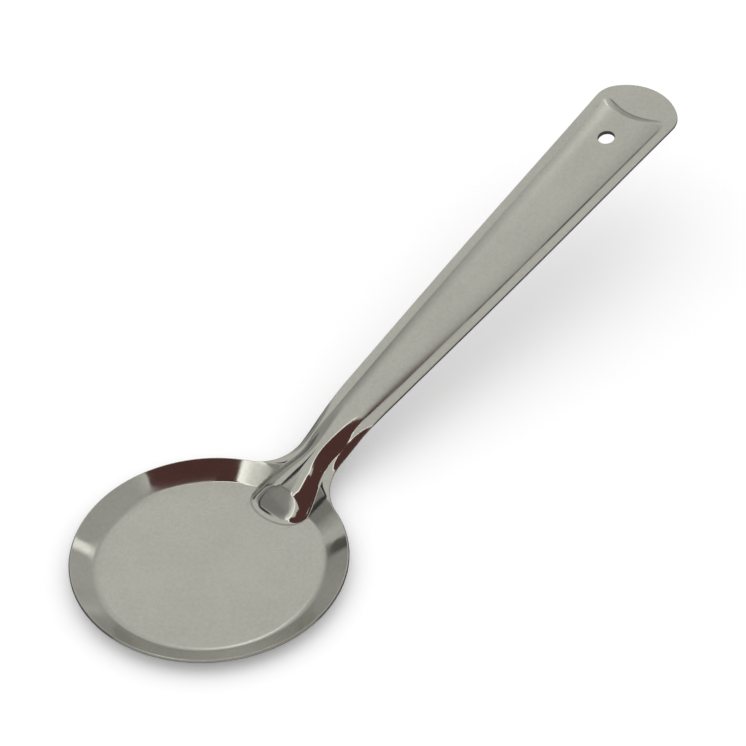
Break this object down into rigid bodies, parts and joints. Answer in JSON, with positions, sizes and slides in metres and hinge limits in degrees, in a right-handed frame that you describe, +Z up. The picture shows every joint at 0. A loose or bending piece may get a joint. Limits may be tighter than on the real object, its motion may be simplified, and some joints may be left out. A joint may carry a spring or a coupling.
{
  "type": "rice serving spoon",
  "caption": "Flat round-bowled serving spoon pressed from one steel sheet, with a ribbed neck, a raised tapering handle panel and a hanging hole.",
  "frame": {"origin": "centre of the flat underside of the bowl's floor", "axes": "+Z up out of the bowl, +X along the handle towards its end"},
  "size_m": [0.2396, 0.0748, 0.0409],
  "materials": {
    "stainless_sheet": "polished, softer on the floor and handle"
  },
  "bodies": {
    "root": {"pressed_spoon": "stainless_sheet"}
  },
  "joints": []
}
